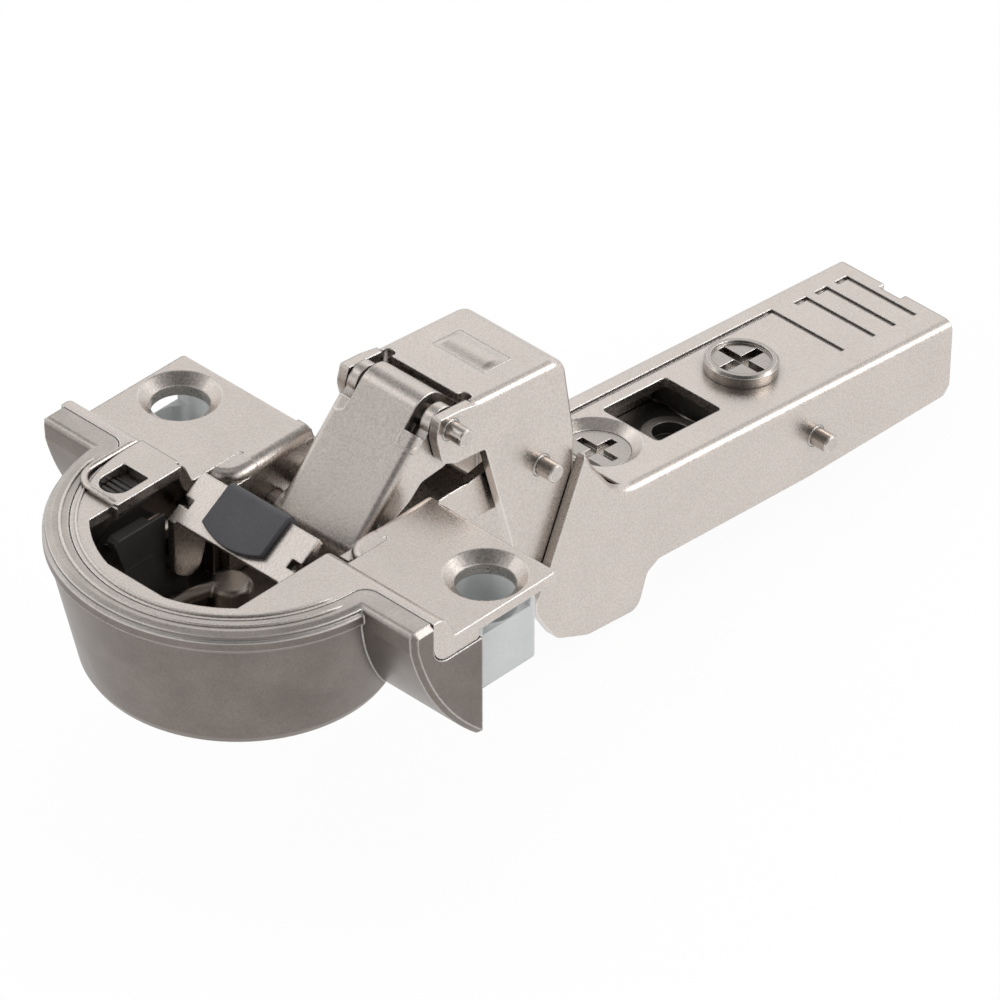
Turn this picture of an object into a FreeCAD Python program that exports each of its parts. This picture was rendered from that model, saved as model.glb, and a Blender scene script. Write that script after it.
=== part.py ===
import FreeCAD, Part
import math
import os

# Soft-close concealed hinge for narrow frame doors, drawn fully open, in millimetres.
# X runs from the cup to the arm, Y lies along the hinge pins, Z points out of the cup.
# The origin is midway between the two screw holes, where the flanges lie on the frame.
# Heights are drawn from the top of the flanges, and each piece is lifted by the sheet when saved.

V = FreeCAD.Vector

# Fits and clearances
running_gap = 0.05
seat_gap = 0.02
seam_gap = 0.1
side_gap = 0.1

# Cup housing, a die casting
ring_x = -13.7
ring_top = 3.0
lip_r = 20.4
lip_z = 1.1
step_r = 20.05
wall_top_r = 20.0
wall_foot_r = 17.0
cup_bottom = -13.9
cup_edge = 1.2
floor_edge = 0.8
lip_edge = 0.2
wing_edge = 0.6
cavity_top_r = 16.3
cavity_foot_r = 15.3
cup_floor = -12.6
cup_back_x = -5.6
back_wall = 1.6
wing_y = 27.5
wing_root_y = 14.5
wing_front_x = -15.7
wing_tip_z = -15.3
wing_ledge_z = -2.45
channel_wall = 1.4
channel_end_x = 6.8

# Cup plate, pressed from sheet
sheet = 1.3
flange_top = 0.0
flange_end_x = 5.7
flange_corner_r = 0.8
plate_y = 27.4
seam_x = -12.65
seam_r = 17.5
seam_fillet = 2.0
slope_top_x = -11.0
slope_foot_x = -9.7
window_r = 15.45
window_y = 10.9
window_front_x = -28.6
switch_side_y = 10.1
gap_half = 8.2
side_wall_x0 = -7.0
side_wall_x1 = 6.6
side_wall_foot = -12.5
skirt_foot = -2.35
skirt_x1 = -6.0
plateau_rise = 0.5

# Screw holes of the flanges
screw_pitch = 45.0
screw_r = 3.25
sink_r = 4.5
sink_depth = 1.05
collar_r = 4.0
collar_depth = 1.0

# Frame blocks of clear plastic
block_x1 = 4.2
block_y0 = 12.4
block_y1 = 26.0
block_foot = -10.8
block_bore_r = 3.35
block_bore_foot = -9.5
block_edge = 0.8

# Pivots, x and z of each pin with the hinge open
pivot_a = (-0.5, -6.2)
pivot_b = (4.4, -6.2)
pivot_front = (10.5, 5.25)
pivot_rear = (24.2, -6.7)
pivot_lever = (-13.6, -7.2)
pin_a_r = 1.5
pin_b_r = 1.2
pin_r = 1.3
pin_half = 9.75
cup_pin_half = 9.45

# Outer link, pressed and rolled round its two pins
link_sheet = 1.25
roll_r = 2.8
link_half = 6.0
front_roll_half = 3.9
ear_inner_y = 4.75
link_eye_r = 2.1
link_bend = 1.2
relief_from_pin = 3.0

# Inner link
eye_r = 1.95
inner_half = 5.5
inner_sheet = 1.2
slot_half_length = 2.74
slot_half_width = 1.8
slot_wall = 0.5

# Knuckle, a cranked channel; its own points are along and across the arm
tilt = 5.5
knuckle_half = 7.35
knuckle_sheet = 1.2
knuckle_top = 8.1
knuckle_nose_u = 13.4
rib_u0 = 18.8
rib_u1 = 22.3
rib_half = 3.4
rib_rise = 0.4
web_top_u = 27.4
web_mid_u = 30.1
web_foot_u = 31.0
tail_top = -14.6
tail_foot = -20.0
tail_web_u = 45.6
tail_u = 60.3

# Arm, a long channel
arm_side_gap = 0.1
arm_sheet = 1.2
arm_top = -12.2
arm_front_u = 36.5
arm_back_u = 89.8
arm_bend = 1.2
window_u0 = 47.0
window_u1 = 57.2
window_half = 4.2
cross_groove_u = 76.1
slot_last_u = 87.7
slot_step = 3.35

# Adjusting block, its pin and the two screws
tail_pin_u = tail_u - 2.1
tail_pin_h = -17.2
tail_pin_r = 1.2
block_u0 = 49.0
block_shelf_h = -15.9
block_foot_h = -18.6
block_neck_u = tail_u + 2.6
depth_u = tail_u + 4.4
depth_head_r = 4.15
depth_head = 1.5
depth_shank_r = 3.0
cam_offset = 2.0
cam_r = 1.5
cam_play = 0.2
side_u = 42.0
side_head_r = 3.7
side_head_top = -13.15
dish_r = 4.9
dish_depth = 0.9
side_head = 0.85
side_shank_r = 2.25
side_slot_half = 4.5
side_shank_foot = -19.5

# Clip at the back of the arm
clip_u = depth_u + 3.5
clip_h = -18.13
block_u1 = clip_u + 2.8
arm_pin_half = 11.0
hook_half = 7.2
hook_sheet = 1.1
hook_eye_r = 2.0
coil_r = 2.0
coil_wall = 0.6

# Soft-close lever, pad, slider and damper
lever_near = 8.6
lever_far = 8.45
lever_sheet = 1.0
lever_slope = 32.4
stub_r = 0.6
stub_half = 10.2
crank_r = 2.4
crank_angle = 51.0
crank_pin_r = 0.5
pad_half = 4.3
pad_sheet = 0.75
slider_y0 = 8.95
slider_sheet = 0.8
slider_top = -4.25
slider_foot = -6.4
damper_face_y = 8.75
damper_top = -4.2
damper_upper_y = 10.1
cylinder_y = 12.15
cylinder_z = -5.3
cylinder_r = 1.8
cylinder_bore_r = 1.4
cylinder_x0 = -20.3
cylinder_x1 = -12.7
rod_r = 0.7
boss_face_y = 8.7
boss_top = -4.8

# Switch for the damper
switch_x0 = -20.4
switch_x1 = -16.9
switch_y = 12.95
switch_half = 1.75
switch_top = 2.45


# A closed outline through points; a third number in a point rounds that corner.
def outline(points, place):
    corners = []
    count = len(points)
    for i in range(count):
        here = V(points[i][0], points[i][1], 0)
        radius = points[i][2] if len(points[i]) > 2 else 0
        if radius == 0:
            corners.append([here])
            continue
        back = V(points[i - 1][0], points[i - 1][1], 0) - here
        ahead = V(points[(i + 1) % count][0], points[(i + 1) % count][1], 0) - here
        back.normalize()
        ahead.normalize()
        half_angle = back.getAngle(ahead) / 2
        setback = radius / math.tan(half_angle)
        middle = back + ahead
        middle.normalize()
        crown = here + middle * (radius / math.sin(half_angle) - radius)
        corners.append([here + back * setback, crown, here + ahead * setback])
    edges = []
    for i in range(count):
        corner = corners[i]
        if len(corner) == 3:
            edges.append(Part.Arc(place(corner[0]), place(corner[1]), place(corner[2])).toShape())
        start = corner[-1]
        end = corners[(i + 1) % count][0]
        if start.distanceToPoint(end) > 1e-6:
            edges.append(Part.LineSegment(place(start), place(end)).toShape())
    return Part.Wire(edges)


# A solid with its outline in X and Z, between two Y values.
def slab_y(points, y0, y1):
    wire = outline(points, lambda p: V(p.x, y0, p.y))
    return Part.Face(wire).extrude(V(0, y1 - y0, 0))


# A solid with its outline in X and Y, between two Z values.
def slab_z(points, z0, z1):
    wire = outline(points, lambda p: V(p.x, p.y, z0))
    return Part.Face(wire).extrude(V(0, 0, z1 - z0))


# A solid with its outline in Y and Z, between two X values.
def slab_x(points, x0, x1):
    wire = outline(points, lambda p: V(x0, p.x, p.y))
    return Part.Face(wire).extrude(V(x1 - x0, 0, 0))


def rod_y(x, z, r, y0, y1):
    return Part.makeCylinder(r, y1 - y0, V(x, y0, z), V(0, 1, 0))


def rod_z(x, y, r, z0, z1):
    return Part.makeCylinder(r, z1 - z0, V(x, y, z0))


def rod_x(y, z, r, x0, x1):
    return Part.makeCylinder(r, x1 - x0, V(x0, y, z), V(1, 0, 0))


def cone_z(x, y, r0, r1, z0, z1):
    return Part.makeCone(r0, r1, z1 - z0, V(x, y, z0))


def box(x0, x1, y0, y1, z0, z1):
    return Part.makeBox(x1 - x0, y1 - y0, z1 - z0, V(x0, y0, z0))


# The shape with its mirror image on the other side of the middle plane.
def both_sides(shape):
    return shape.fuse(shape.mirror(V(0, 0, 0), V(0, 1, 0)))


# A solid of revolution about the ring's axis; the points are radius and height.
def turned(points):
    wire = outline(points, lambda p: V(ring_x + p.x, 0, p.y))
    return Part.Face(wire).revolve(V(ring_x, 0, 0), V(0, 0, 1), 360)


# Turns a shape drawn along and across the arm into its place.
def in_arm_frame(shape):
    placed = shape.copy()
    placed.rotate(V(0, 0, 0), V(0, 1, 0), tilt)
    return placed


# The place of a pivot along and across the arm.
def along_arm(pivot):
    c = math.cos(math.radians(tilt))
    s = math.sin(math.radians(tilt))
    return (pivot[0] * c - pivot[1] * s, pivot[0] * s + pivot[1] * c)


# A point from a pivot, given along and square to a direction.
def from_pivot(pivot, along, across, direction):
    dx, dz = direction
    return (pivot[0] + along * dx - across * dz, pivot[1] + along * dz + across * dx)


def one_solid(shape):
    clean = shape.removeSplitter()
    solids = clean.Solids
    if len(solids) != 1:
        print("solids:", len(solids), [round(s.Volume, 2) for s in solids])
    return max(solids, key=lambda s: s.Volume)


os.makedirs("parts", exist_ok=True)


def save(name, shape):
    solid = one_solid(shape)
    if not solid.isValid():
        print("not valid:", name)
    solid.translate(V(0, 0, sheet - flange_top))
    solid.exportStep("parts/" + name + ".step")
    return solid


# Seam between the cup plate and the housing, seen from above.
def seam_plan(gap, end_x):
    radius = seam_r + gap
    left = seam_x - gap
    fillet = seam_fillet - gap
    reach = radius + fillet
    fillet_x = left - fillet
    fillet_y = math.sqrt(reach ** 2 - (fillet_x - ring_x) ** 2)
    touch_x = ring_x + (fillet_x - ring_x) * radius / reach
    touch_y = fillet_y * radius / reach
    mid_angle = (math.atan2(touch_y - fillet_y, touch_x - fillet_x)) / 2
    mid_x = fillet_x + fillet * math.cos(mid_angle)
    mid_y = fillet_y + fillet * math.sin(mid_angle)
    side = plate_y + gap
    edges = [
        Part.Arc(V(touch_x, -touch_y, 0), V(ring_x - radius, 0, 0), V(touch_x, touch_y, 0)).toShape(),
        Part.Arc(V(touch_x, touch_y, 0), V(mid_x, mid_y, 0), V(left, fillet_y, 0)).toShape(),
        Part.LineSegment(V(left, fillet_y, 0), V(left, side, 0)).toShape(),
        Part.LineSegment(V(left, side, 0), V(end_x, side, 0)).toShape(),
        Part.LineSegment(V(end_x, side, 0), V(end_x, -side, 0)).toShape(),
        Part.LineSegment(V(end_x, -side, 0), V(left, -side, 0)).toShape(),
        Part.LineSegment(V(left, -side, 0), V(left, -fillet_y, 0)).toShape(),
        Part.Arc(V(left, -fillet_y, 0), V(mid_x, -mid_y, 0), V(touch_x, -touch_y, 0)).toShape(),
    ]
    face = Part.Face(Part.Wire(edges))
    face.translate(V(0, 0, cup_bottom))
    return face.extrude(V(0, 0, 3 * abs(cup_bottom)))


sheet_under = ring_top - sheet
slope_run = slope_foot_x - slope_top_x
slope_length = math.hypot(slope_run, ring_top - flange_top)
slope_shift = sheet * (slope_length - slope_run) / (ring_top - flange_top)

# Upper and lower lines of the cup plate's sheet, from the ring down to the flanges
plate_upper = [(ring_x - seam_r - 1, ring_top), (slope_top_x, ring_top, 1.6), (slope_foot_x, flange_top, 0.6)]
plate_lower = [
    (slope_foot_x - slope_shift, flange_top - sheet, 1.6),
    (slope_top_x - slope_shift, sheet_under, 0.6),
    (ring_x - seam_r - 1, sheet_under),
]

# Cup housing
ring_solid = turned([
    (0, cup_bottom), (wall_foot_r - cup_edge, cup_bottom), (wall_foot_r - 0.3 * cup_edge, cup_bottom + 0.3 * cup_edge),
    (wall_foot_r + 0.1, cup_bottom + cup_edge), (wall_top_r, lip_z - 0.4), (lip_r, lip_z), (lip_r, 2.3 - lip_edge),
    (lip_r - lip_edge, 2.3), (step_r, 2.3), (step_r, ring_top - 0.25), (step_r - 0.65, ring_top), (0, ring_top),
])
cavity = turned([
    (0, cup_floor), (cavity_foot_r - floor_edge, cup_floor), (cavity_foot_r, cup_floor + floor_edge),
    (cavity_top_r, sheet_under), (cavity_top_r, ring_top + 1), (0, ring_top + 1),
])


# Side view of a wing: a curved front that runs down to a sharp tip at the back
def wing_outline(y):
    top = V(wing_front_x + 0.8, y, ring_top)
    shoulder = V(wing_front_x, y, ring_top - 0.8)
    knee = V(wing_front_x + 0.1, y, 0.5)
    belly = V(-12.6, y, -7.0)
    tip = V(cup_back_x - 0.35, y, wing_tip_z + 0.2)
    tip_back = V(cup_back_x, y, wing_tip_z + 0.55)
    ledge_back = V(cup_back_x, y, ring_top)
    crown = V(wing_front_x + 0.8 - 0.8 * math.sin(math.radians(45)), y, ring_top - 0.8 + 0.8 * math.sin(math.radians(45)))
    return Part.Wire([
        Part.Arc(top, crown, shoulder).toShape(), Part.LineSegment(shoulder, knee).toShape(),
        Part.Arc(knee, belly, tip).toShape(), Part.LineSegment(tip, tip_back).toShape(),
        Part.LineSegment(tip_back, ledge_back).toShape(), Part.LineSegment(ledge_back, top).toShape(),
    ])


wing = Part.Face(wing_outline(wing_root_y)).extrude(V(0, wing_y - wing_root_y, 0))
wing_edges = []
for edge in wing.Edges:
    middle = edge.CenterOfMass
    if abs(middle.y - wing_y) < 0.01 and middle.x < cup_back_x - 0.5 and middle.z < ring_top - 0.01:
        wing_edges.append(edge)
wing = wing.makeChamfer(wing_edge, wing_edges)
ring_body = ring_solid.cut(box(cup_back_x, 20, -30, 30, -20, 10))
housing = ring_body.fuse(both_sides(wing))
housing = housing.cut(cavity)
housing = housing.removeSplitter()

channel_in_y = cup_pin_half + 0.05 + side_gap
channel_out_y = channel_in_y + channel_wall
plate_foot = flange_top - sheet
back = ring_solid.common(box(cup_back_x - back_wall, cup_back_x, -30, 30, cup_bottom, ring_top))
back = back.cut(box(-20, 20, -channel_in_y, channel_in_y, cup_floor, 10))
channel = slab_x([
    (-channel_out_y, plate_foot - side_gap), (-channel_out_y, cup_bottom, 0.8),
    (channel_out_y, cup_bottom, 0.8), (channel_out_y, plate_foot - side_gap),
    (channel_in_y, plate_foot - side_gap), (channel_in_y, cup_floor), (-channel_in_y, cup_floor),
    (-channel_in_y, plate_foot - side_gap),
], cup_back_x - 2.4, channel_end_x)
housing = housing.fuse(back).fuse(channel)
pocket_view = [
    (-40, sheet_under - seat_gap), (slope_top_x - slope_shift - 0.05, sheet_under - seat_gap, 0.6),
    (slope_foot_x - slope_shift - 0.05, plate_foot - seat_gap), (20, plate_foot - seat_gap), (20, 10), (-40, 10),
]
pocket = slab_y(pocket_view, -30, 30).common(seam_plan(seam_gap, 20))
skirt_pocket = slab_y([
    (seam_x - seam_gap, 10), (seam_x - seam_gap, wing_ledge_z, 2.2), (20, wing_ledge_z), (20, 10),
], wing_y - 9, wing_y + 1)
housing = housing.cut(pocket).cut(both_sides(skirt_pocket))
lever_x, lever_z = pivot_lever
boss = box(lever_x - 2.4, lever_x + 2.6, -14.2, -boss_face_y, cup_floor - 0.2, boss_top)
housing = housing.fuse(boss.common(cavity.fuse(ring_body)))
housing = housing.cut(rod_y(lever_x, lever_z, stub_r + running_gap, -stub_half - 0.1, -boss_face_y + 1))
cup_housing = save("cup_housing", housing)

# Cup plate: sheet folded down in front, cut to the seam, with its window, flanges and side walls
folded = slab_y(plate_upper + [
    (flange_end_x, flange_top, 0.5), (flange_end_x, plate_foot),
] + plate_lower, -plate_y, plate_y)
rise = slab_z([
    (-21.3, switch_side_y), (-11.6, switch_side_y), (-11.6, 17.0, 1.0), (-21.3, 17.0, 3.0),
], sheet_under - 1, ring_top + plateau_rise)
rise_plan = rise.common(Part.makeCylinder(seam_r - 1.0, 10, V(ring_x, 0, sheet_under - 1)))
plateau = rise_plan.common(box(-30, 0, 0, 30, ring_top - 0.01, ring_top + plateau_rise))
hollow = rise_plan.common(box(-30, 0, 0, 30, sheet_under - 1, sheet_under + plateau_rise))
folded = folded.fuse(plateau).cut(hollow)
folded = folded.common(seam_plan(0, flange_end_x))
front_window = Part.makeCylinder(window_r, 20, V(ring_x, 0, -5))
front_window = front_window.common(box(window_front_x, 20, -window_y, window_y, -5, 10))
front_window = front_window.cut(box(-21.4, -10.9, switch_side_y, 20, -5, 10))
folded = folded.cut(front_window)
rear_gap = slab_z([
    (-12.0, -window_y), (-7.4, -window_y, 1.3), (-4.8, -gap_half, 1.3), (20, -gap_half),
    (20, gap_half), (-4.8, gap_half, 1.3), (-7.4, window_y, 1.3), (-12.0, window_y),
], -20, 10)
folded = folded.cut(rear_gap)
wall_out_y = gap_half + sheet
side_wall = slab_x([
    (gap_half, side_wall_foot), (wall_out_y, side_wall_foot), (wall_out_y, plate_foot + 0.01),
    (wall_out_y + 1, plate_foot + 0.01), (wall_out_y + 1, flange_top), (gap_half, flange_top, 1.3),
], side_wall_x0, side_wall_x1)
side_wall = side_wall.cut(slab_y([
    (side_wall_x0 - 1, 1), (side_wall_x0 - 1, plate_foot), (side_wall_x0 + 3.4, plate_foot, 1.0),
    (side_wall_x0 + 4.4, 1),
], 0, 30))
side_wall = side_wall.cut(box(flange_end_x, 20, 0, 30, plate_foot - 0.6, 5))
bend_strip = box(-4.4, 20, gap_half - 0.1, gap_half + 1.3, plate_foot, 1)
folded = folded.cut(both_sides(bend_strip)).fuse(both_sides(side_wall))
skirt = slab_y([
    (seam_x, sheet_under + 0.3), (seam_x, skirt_foot, 2.2), (skirt_x1, skirt_foot, 0.4),
    (skirt_x1, plate_foot + 0.3), (slope_foot_x - slope_shift + 0.1, plate_foot + 0.3),
    (slope_top_x - slope_shift + 0.1, sheet_under + 0.3),
], plate_y - sheet, plate_y)
folded = folded.fuse(both_sides(skirt))
hole_y = screw_pitch / 2
for side in (-1, 1):
    y = side * hole_y
    folded = folded.fuse(rod_z(0, y, collar_r, plate_foot - collar_depth, plate_foot + 0.1))
    folded = folded.cut(rod_z(0, y, screw_r, -10, 5))
    folded = folded.cut(cone_z(0, y, screw_r, sink_r, flange_top - sink_depth, flange_top))
switch_slot = slab_z([
    (switch_x0 - 0.1, switch_y - switch_half - 0.1, 1.8), (-15.7, switch_y - switch_half - 0.1, 0.3),
    (-15.7, switch_y + switch_half + 0.1, 0.3), (switch_x0 - 0.1, switch_y + switch_half + 0.1, 1.8),
], -5, 10)
folded = folded.cut(switch_slot)
for pivot, radius in ((pivot_a, pin_a_r), (pivot_b, pin_b_r)):
    folded = folded.cut(rod_y(pivot[0], pivot[1], radius + seat_gap, -30, 30))
corner_x = flange_end_x - flange_corner_r
corner_y = plate_y - flange_corner_r
corner = box(corner_x, flange_end_x + 1, corner_y, plate_y + 1, -5, 5)
corner = corner.cut(rod_z(corner_x, corner_y, flange_corner_r, -5, 5))
folded = folded.cut(both_sides(corner))
cup_plate = save("cup_plate", folded)

# Frame blocks
block_top = plate_foot - seat_gap
for name, side in (("frame_block_left", 1), ("frame_block_right", -1)):
    block = box(cup_back_x + running_gap, block_x1, block_y0, block_y1, block_foot, block_top)
    block = block.makeFillet(block_edge, [e for e in block.Edges if e.BoundBox.ZLength > 5])
    block = block.cut(rod_z(0, hole_y, block_bore_r, block_bore_foot, 0))
    block = block.cut(rod_z(0, hole_y, collar_r + 0.15, plate_foot - collar_depth - 0.1, 0))
    block = block.cut(box(-4.0, 3.0, block_y1 - 1.8, 40, -3.8, 0))
    if side < 0:
        block = block.mirror(V(0, 0, 0), V(0, 1, 0))
    save(name, block)

# Pins held in the side walls of the cup plate
link_pin = rod_y(pivot_a[0], pivot_a[1], pin_a_r, -cup_pin_half, cup_pin_half)
save("link_pin", link_pin)
inner_link_pin = rod_y(pivot_b[0], pivot_b[1], pin_b_r, -cup_pin_half, cup_pin_half)
save("inner_link_pin", inner_link_pin)

# Outer link, drawn from pivot A towards the front pin
link_dx = pivot_front[0] - pivot_a[0]
link_dz = pivot_front[1] - pivot_a[1]
link_length = math.hypot(link_dx, link_dz)
link_dir = (link_dx / link_length, link_dz / link_length)
web_back = roll_r - link_sheet
face_a = from_pivot(pivot_a, 0, roll_r, link_dir)
face_front = from_pivot(pivot_a, link_length, roll_r, link_dir)
link = slab_y([
    face_a, face_front, pivot_front, (pivot_front[0] + link_eye_r - 0.1, pivot_front[1] - 0.6), (11.4, -0.3, 1.2),
    (7.4, -0.6, 1.5), (5.6, -2.2, 1.5), (2.6, -3.6), pivot_a,
], -link_half, link_half)
bend_edges = []
for edge in link.Edges:
    middle = edge.CenterOfMass
    on_face = abs((middle.x - face_a[0]) * link_dir[1] - (middle.z - face_a[1]) * link_dir[0]) < 0.01
    if on_face and abs(abs(middle.y) - link_half) < 0.01:
        bend_edges.append(edge)
link = link.makeFillet(link_bend, bend_edges)
between_ears = slab_y([
    from_pivot(pivot_a, -3, web_back, link_dir), from_pivot(pivot_a, link_length + 4, web_back, link_dir),
    from_pivot(pivot_a, link_length + 4, -14, link_dir), from_pivot(pivot_a, -3, -14, link_dir),
], -ear_inner_y, ear_inner_y)
link = link.cut(between_ears)
relief_start = link_length - relief_from_pin
relief_r = (link_half - front_roll_half) / 2
relief = slab_y([
    from_pivot(pivot_a, relief_start, web_back, link_dir), from_pivot(pivot_a, relief_start, roll_r + 1, link_dir),
    from_pivot(pivot_a, link_length + 4, roll_r + 1, link_dir), from_pivot(pivot_a, link_length + 4, web_back, link_dir),
], front_roll_half, link_half + 1)
relief_foot = from_pivot(pivot_a, relief_start, web_back, link_dir)
relief = relief.fuse(Part.makeCylinder(
    relief_r, link_sheet + 1, V(relief_foot[0], front_roll_half + relief_r, relief_foot[1]), V(-link_dir[1], 0, link_dir[0]),
))
link = link.cut(both_sides(relief))
link = link.fuse(both_sides(rod_y(pivot_front[0], pivot_front[1], link_eye_r, ear_inner_y, link_half)))
link = link.fuse(rod_y(pivot_a[0], pivot_a[1], roll_r, -link_half, link_half))
link = link.fuse(rod_y(pivot_front[0], pivot_front[1], roll_r, -front_roll_half, front_roll_half))
link = link.cut(rod_y(pivot_a[0], pivot_a[1], pin_a_r + running_gap, -30, 30))
link = link.cut(rod_y(pivot_front[0], pivot_front[1], pin_r + running_gap, -30, 30))
for along, turn in ((1.3, 1), (link_length - 1.3, -1)):
    slit = slab_y([
        from_pivot(pivot_a, along, roll_r - link_sheet - 0.02, link_dir),
        from_pivot(pivot_a, along + turn * 2.5, roll_r - link_sheet - 0.02, link_dir),
        from_pivot(pivot_a, along + turn * 2.5, roll_r - link_sheet - 0.3, link_dir),
        from_pivot(pivot_a, along, roll_r - link_sheet - 0.3, link_dir),
    ], -link_half - 1, link_half + 1)
    link = link.cut(slit.cut(both_sides(box(-30, 30, ear_inner_y - 0.1, 10, 0, 30))))
outer_link = save("outer_link", link)

# Inner link: full-width eye on its cup pin, two ears and a curved web, long eyes at the rear pin
bx, bz = pivot_b
slot_dir = (-0.611, 0.791)
slot_mid = (pivot_rear[0] + 0.28, pivot_rear[1] + 0.22)


def long_eye(half_length, half_width, y0, y1):
    reach = half_length - half_width
    ends = [
        from_pivot(slot_mid, reach, half_width, slot_dir), from_pivot(slot_mid, -reach, half_width, slot_dir),
        from_pivot(slot_mid, -reach, -half_width, slot_dir), from_pivot(slot_mid, reach, -half_width, slot_dir),
    ]
    shape = slab_y(ends, y0, y1)
    for sign in (-1, 1):
        x, z = from_pivot(slot_mid, sign * reach, 0, slot_dir)
        shape = shape.fuse(rod_y(x, z, half_width, y0, y1))
    return shape


inner_ear_y = inner_half - inner_sheet
web_top = [(bx + 1.0, bz + 0.9), (bx + 7.0, bz + 1.2, 8.0), (16.2, -5.0, 6.0), (19.6, -8.6)]
ear_plate = slab_y(web_top + [
    (21.8, -9.4), (20.4, -10.6, 1.5), (bx + 6, bz - 3.4, 6.0), (bx, bz - eye_r),
], inner_ear_y, inner_half)
ear_plate = ear_plate.fuse(slab_y([
    (15.0, -5.2), (slot_mid[0] - 2.2, slot_mid[1] + 2.6), (slot_mid[0] + 1.2, slot_mid[1] - 3.0), (17.5, -9.8),
], inner_ear_y, inner_half))
ear_plate = ear_plate.fuse(long_eye(slot_half_length + slot_wall, slot_half_width + slot_wall, inner_ear_y, inner_half))
web = slab_y(web_top + [
    (18.8, -9.5), (15.4, -5.95, 5.0), (bx + 6.6, bz + 0.15, 7.0), (bx + 1.0, bz - 0.3),
], -inner_ear_y - 0.1, inner_ear_y + 0.1)
inner = rod_y(bx, bz, eye_r, -inner_half, inner_half).fuse(both_sides(ear_plate)).fuse(web)
inner = inner.cut(rod_y(bx, bz, pin_b_r + running_gap, -30, 30))
inner = inner.cut(long_eye(slot_half_length, slot_half_width, -30, 30))
inner_link = save("inner_link", inner)

# Knuckle, drawn along and across the arm
front_u, front_h = along_arm(pivot_front)
rear_u, rear_h = along_arm(pivot_rear)
web_line = [
    (web_top_u, knuckle_top, 2.5), (web_mid_u, -2.5, 6.0), (web_foot_u, tail_top, 2.0),
]
side_line = [
    (tail_u, tail_top), (tail_u, tail_foot, 2.5), (22.8, tail_foot, 2.0), (21.0, -12.55, 4.0),
    (15.63, 1.5, 0.8), (13.4, 1.55),
]
knuckle = slab_y([(knuckle_nose_u, knuckle_top)] + web_line + side_line, -knuckle_half, knuckle_half)
bend_edges = []
for edge in knuckle.Edges:
    middle = edge.CenterOfMass
    outer = middle.x > knuckle_nose_u + 0.1 and abs(abs(middle.y) - knuckle_half) < 0.01
    on_top = abs(middle.z - knuckle_top) < 0.01 or (26.0 < middle.x < 31.5 and middle.z > tail_top - 0.01)
    on_tail = middle.x > 31 and abs(middle.z - tail_top) < 0.01
    if outer and (on_top or on_tail):
        bend_edges.append(edge)
knuckle = knuckle.makeFillet(1.1, bend_edges)
ear = slab_y([
    (front_u - 2.2, front_h - 0.25, 2.5), (front_u - 1.75, front_h + 2.1, 1.0), (front_u + 0.75, front_h + 2.9, 1.5),
    (knuckle_nose_u + 0.3, knuckle_top - 0.3), (16.0, knuckle_top - 2.5), (15.0, 1.55), (front_u + 1.35, 1.55, 1.5),
    (front_u - 0.95, front_h - 3.85, 1.5),
], knuckle_half - knuckle_sheet, knuckle_half)
knuckle = knuckle.fuse(both_sides(ear))
t = knuckle_sheet
inside = slab_y([
    (0, 20), (knuckle_nose_u, 20), (knuckle_nose_u, knuckle_top - t), (web_top_u - t, knuckle_top - t, 1.3),
    (web_mid_u - t, -2.5, 5.0), (web_foot_u - t, tail_top - t, 3.2), (tail_web_u, tail_top - t), (tail_web_u, 0),
    (tail_u + 9, 0), (tail_u + 9, -40), (0, -40),
], -knuckle_half + t, knuckle_half - t)
knuckle = knuckle.cut(inside)
knuckle = knuckle.cut(rod_y(front_u, front_h, pin_r + seat_gap, -30, 30))
knuckle = knuckle.cut(rod_y(rear_u, rear_h, pin_r + seat_gap, -30, 30))
knuckle = knuckle.cut(rod_y(tail_pin_u, tail_pin_h, tail_pin_r + running_gap, -30, 30))
rib = slab_y([
    (rib_u0, knuckle_top - 0.3), (rib_u0, knuckle_top), (rib_u0 + 0.9, knuckle_top + rib_rise),
    (rib_u1 - 0.3, knuckle_top + rib_rise), (rib_u1, knuckle_top), (rib_u1, knuckle_top - 0.3),
], -rib_half, rib_half)
rib_dent = slab_y([
    (rib_u0 + 0.4, knuckle_top - t - 1), (rib_u0 + 0.4, knuckle_top - t), (rib_u0 + 1.2, knuckle_top - t + rib_rise),
    (rib_u1 - 0.5, knuckle_top - t + rib_rise), (rib_u1 - 0.5, knuckle_top - t - 1),
], -rib_half + 0.4, rib_half - 0.4)
knuckle = knuckle.fuse(rib).cut(rib_dent)
slot_r = side_shank_r + running_gap
knuckle = knuckle.cut(slab_z([
    (side_u - side_slot_half, -slot_r, slot_r - 0.01), (side_u + side_slot_half, -slot_r, slot_r - 0.01),
    (side_u + side_slot_half, slot_r, slot_r - 0.01), (side_u - side_slot_half, slot_r, slot_r - 0.01),
], tail_top - 3, tail_top + 1))
nose_notch = rod_z(knuckle_nose_u + 0.2, 5.6, 0.75, knuckle_top - 4, knuckle_top + 1)
knuckle = knuckle.cut(both_sides(nose_notch))
knuckle = save("knuckle", in_arm_frame(knuckle))

front_pin = rod_y(pivot_front[0], pivot_front[1], pin_r, -pin_half, pin_half)
save("front_pin", front_pin)
rear_pin = rod_y(pivot_rear[0], pivot_rear[1], pin_r, -pin_half, pin_half)
save("rear_pin", rear_pin)

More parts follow.
